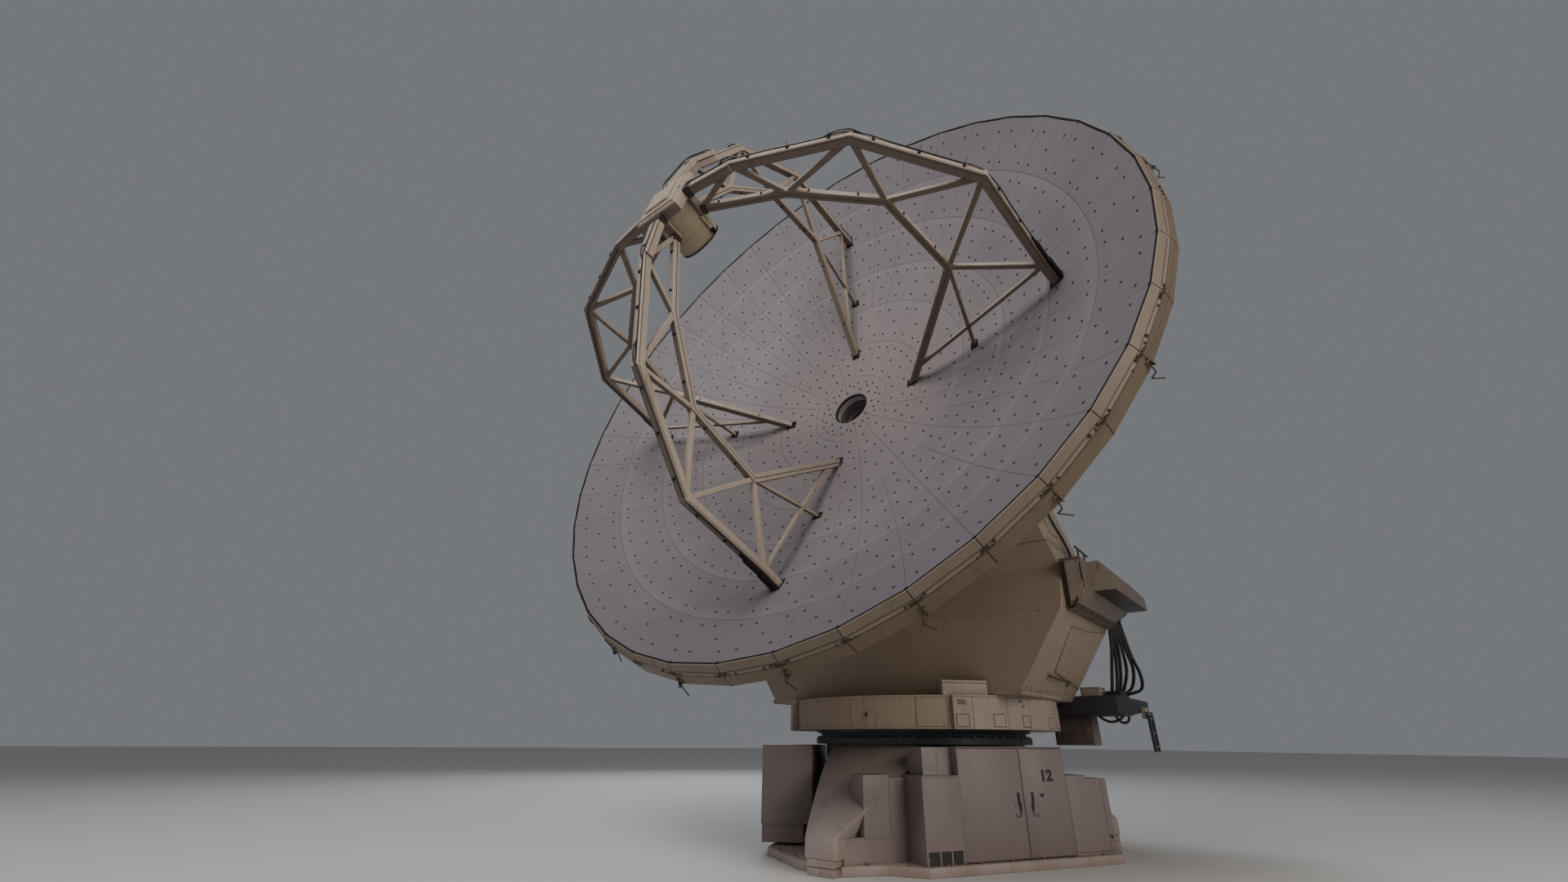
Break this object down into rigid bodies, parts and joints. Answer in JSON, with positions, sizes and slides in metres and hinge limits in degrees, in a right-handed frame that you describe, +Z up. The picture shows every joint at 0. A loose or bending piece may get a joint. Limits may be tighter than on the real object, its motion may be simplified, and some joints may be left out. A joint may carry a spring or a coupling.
{
  "type": "radio telescope dish",
  "caption": "Steerable radio telescope dish with a secondary mirror on truss legs, on an altitude-azimuth yoke mount over a splayed pedestal with equipment cabinets.",
  "frame": {"origin": "on the azimuth axis at ground level, on the underside of the base frame", "axes": "+Z up along the azimuth axis; X and Y square to the base, with the door cabinet facing -Y; at rest the mount is turned to point the dish at azimuth -150 degrees from +X and 15.52 degrees above the horizon"},
  "size_m": [12.1259, 11.9318, 14.213],
  "materials": {
    "aluminium_panel": "matte",
    "composite_back": "matte",
    "steel": "satin",
    "dark_paint": "matte",
    "cable": "matte",
    "beige_paint": "matte",
    "cream_paint": "satin",
    "white_paint": "satin"
  },
  "bodies": {
    "base": {"base_frame": "white_paint", "pedestal": "white_paint", "leg_front_left": "white_paint", "foot_front_left": "white_paint", "leg_front_right": "white_paint", "foot_front_right": "white_paint", "leg_rear": "white_paint", "foot_rear": "white_paint", "fixed_bearing_ring": "dark_paint", "door_cabinet": "white_paint", "right_box": "white_paint", "stepped_box": "white_paint", "left_box": "white_paint", "left_side_cabinet": "white_paint", "right_side_cabinet": "white_paint"},
    "azimuth_mount": {"azimuth_ring": "cream_paint", "ring_cabinets_right": "cream_paint", "ring_cabinets_left": "cream_paint", "ring_top_box": "cream_paint", "yoke_base": "cream_paint", "yoke_arm_right": "cream_paint", "yoke_arm_left": "cream_paint", "bearing_housing_right": "cream_paint", "bearing_housing_left": "cream_paint", "arm_box_right": "cream_paint", "arm_box_left": "cream_paint", "box_cables": "cable", "arm_cable": "cable", "deck_cables": "cable", "rear_deck": "dark_paint", "deck_box": "cream_paint", "under_deck_box": "cream_paint", "hanging_ladder": "dark_paint"},
    "dish": {"receiver_cabin": "cream_paint", "trunnion_right": "steel", "trunnion_left": "steel", "reflector_1": "aluminium_panel", "reflector_2": "aluminium_panel", "reflector_3": "aluminium_panel", "reflector_4": "aluminium_panel", "reflector_5": "aluminium_panel", "reflector_6": "aluminium_panel", "reflector_7": "aluminium_panel", "reflector_8": "aluminium_panel", "back_structure_1": "composite_back", "back_structure_2": "composite_back", "back_structure_3": "composite_back", "back_structure_4": "composite_back", "vertex_tube": "cream_paint", "apex_frame": "white_paint", "subreflector_drum": "beige_paint", "quadripod_leg_right": "white_paint", "quadripod_leg_top": "white_paint", "quadripod_leg_left": "white_paint", "quadripod_leg_bottom": "white_paint"},
    "left_door": {"cabinet_door_left": "white_paint"},
    "right_door": {"cabinet_door_right": "white_paint"}
  },
  "joints": [
    {"name": "azimuth_turn", "type": "hinge", "parent": "base", "child": "azimuth_mount", "pos_m": [0, 0, 1.84], "axis": [0, 0, 1], "range_deg": [-270, 270]},
    {"name": "elevation_tilt", "type": "hinge", "parent": "azimuth_mount", "child": "dish", "pos_m": [0, 0, 7.29], "axis": [-0.5, 0.866, 0], "range_deg": [-13.52, 74.48]},
    {"name": "left_door_swing", "type": "hinge", "parent": "base", "child": "left_door", "pos_m": [-0.9, -2.35, 0.86], "axis": [0, 0, -1], "range_deg": [0, 110]},
    {"name": "right_door_swing", "type": "hinge", "parent": "base", "child": "right_door", "pos_m": [1.09, -2.35, 0.86], "axis": [0, 0, 1], "range_deg": [0, 110]}
  ]
}
